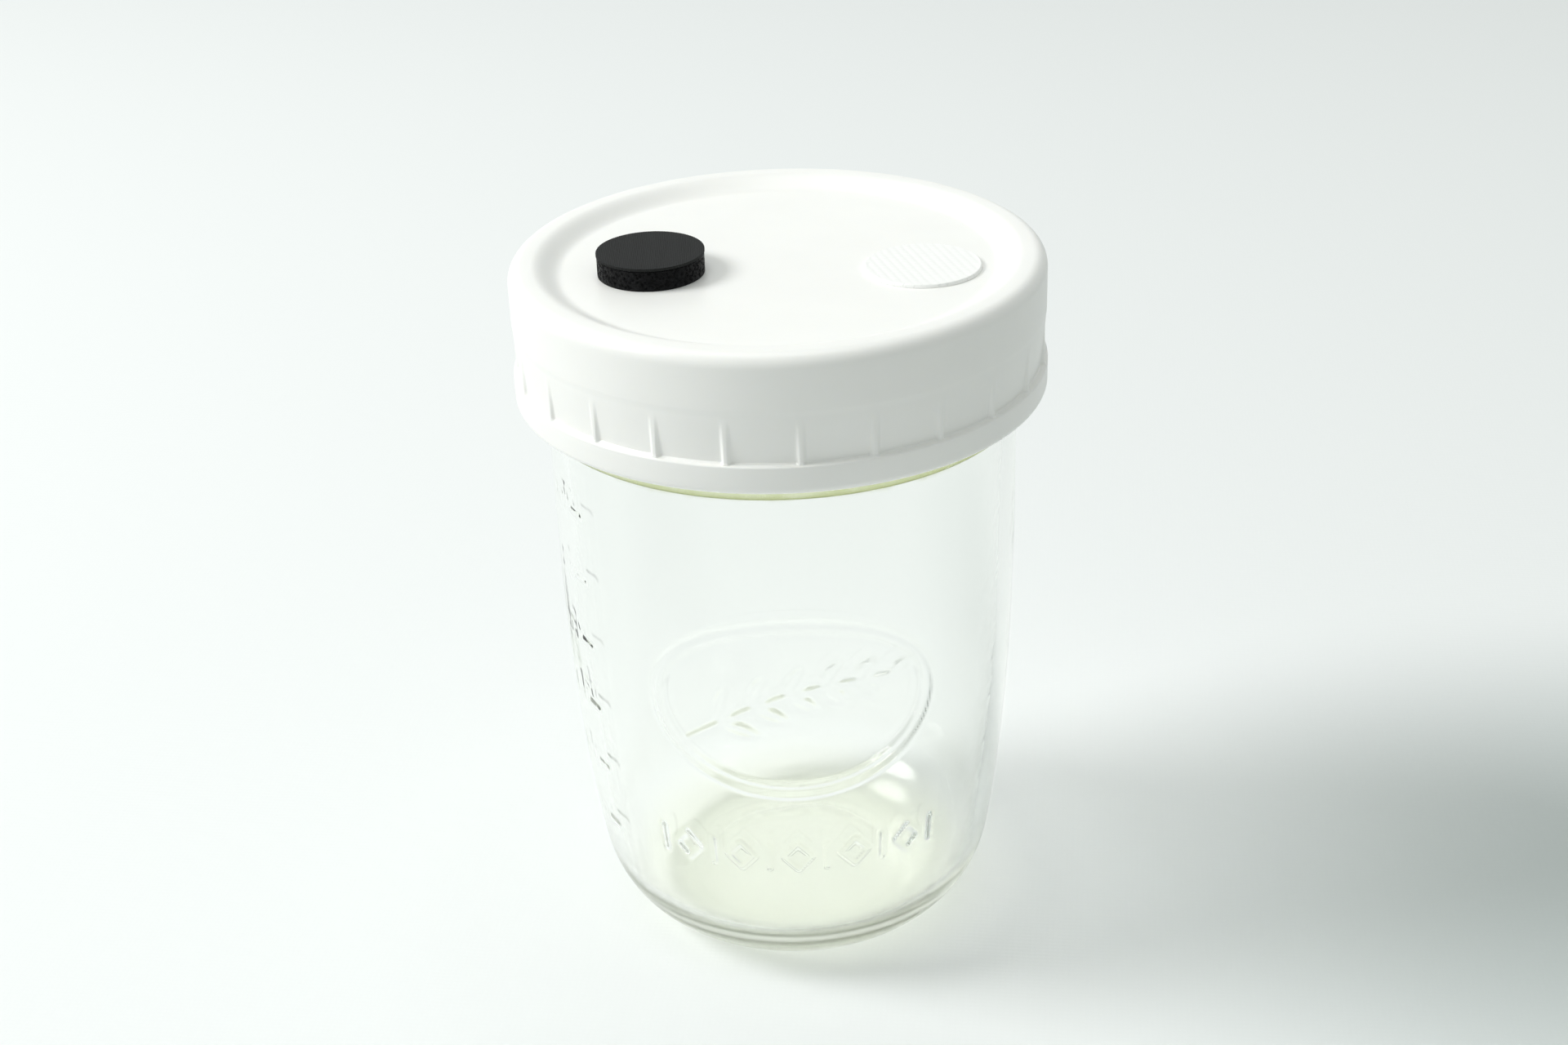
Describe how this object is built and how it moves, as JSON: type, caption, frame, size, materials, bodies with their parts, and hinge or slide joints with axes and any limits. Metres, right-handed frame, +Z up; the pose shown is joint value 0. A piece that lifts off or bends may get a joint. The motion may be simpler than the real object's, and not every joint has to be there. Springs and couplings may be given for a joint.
{
  "type": "mushroom culture jar",
  "caption": "Clear wide-mouth glass jar with a ribbed white screw cap that carries a foam injection port and a breathing filter disc.",
  "frame": {"origin": "centre of the jar's base, on the surface that it stands on", "axes": "+Z up along the jar's axis; the embossed front faces -Y; the injection port is towards -X and the filter towards +X"},
  "size_m": [0.093, 0.093, 0.131],
  "materials": {
    "glass": "clear pressed soda-lime glass, faintly green where it is thick",
    "silicone": "satin white silicone",
    "cap_plastic": "satin white polypropylene",
    "port_film": "thin double-sided adhesive film",
    "port_foam": "matt black closed-cell foam rubber with a porous edge",
    "port_cloth": "fine black weave",
    "filter_film": "thin double-sided adhesive film",
    "filter_cloth": "white membrane with a fine pressed weave"
  },
  "bodies": {
    "jar": {"glass_jar": "glass"},
    "seal": {"lid_gasket": "silicone"},
    "cap": {"screw_cap": "cap_plastic", "port_adhesive": "port_film", "port_sponge": "port_foam", "port_skin": "port_cloth", "filter_adhesive": "filter_film", "filter_membrane": "filter_cloth"}
  },
  "joints": [
    {"name": "lid_lift", "type": "slide", "parent": "jar", "child": "seal", "axis": [0, 0, 1], "range_m": [0, 0.0255]},
    {"name": "lid_turn", "type": "hinge", "parent": "seal", "child": "cap", "pos_m": [0, 0, 0.1231], "axis": [0, 0, 1], "range_deg": [0, 1440]}
  ],
  "couplings": [
    {"joint": "lid_lift", "follows": "lid_turn", "m_per_rad": 0.0010106}
  ]
}
